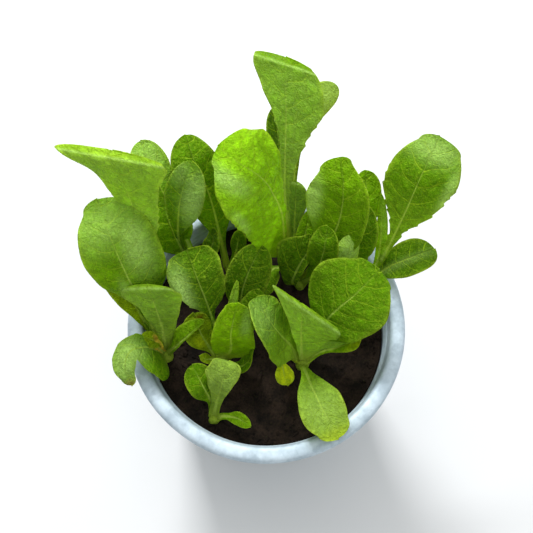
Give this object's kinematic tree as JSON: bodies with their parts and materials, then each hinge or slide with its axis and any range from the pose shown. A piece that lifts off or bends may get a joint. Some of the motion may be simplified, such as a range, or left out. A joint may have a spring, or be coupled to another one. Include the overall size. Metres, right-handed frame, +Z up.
{
  "type": "potted young lettuce",
  "caption": "Young romaine lettuce plants growing close together from dark potting mix in a round tapered galvanised steel pot with a rolled rim.",
  "frame": {"origin": "centre of the pot's flat underside, which stands on the ground", "axes": "+Z up the pot's axis; +Y towards the tallest leaf, the back of the picture's view; +X to the right of that view"},
  "size_m": [0.2002, 0.1959, 0.2164],
  "materials": {
    "galvanised_steel": "dull galvanised, satin",
    "potting_mix": "crumbly, matt",
    "lettuce_leaf": "thin living leaf, satin, light shines through"
  },
  "bodies": {
    "root": {"pot": "galvanised_steel", "soil": "potting_mix", "lettuce_back": "lettuce_leaf", "lettuce_back_left": "lettuce_leaf", "lettuce_far_left": "lettuce_leaf", "lettuce_left": "lettuce_leaf", "lettuce_middle": "lettuce_leaf", "lettuce_right_of_middle": "lettuce_leaf", "lettuce_right": "lettuce_leaf", "lettuce_front": "lettuce_leaf", "seedling_front_left": "lettuce_leaf"}
  },
  "joints": []
}
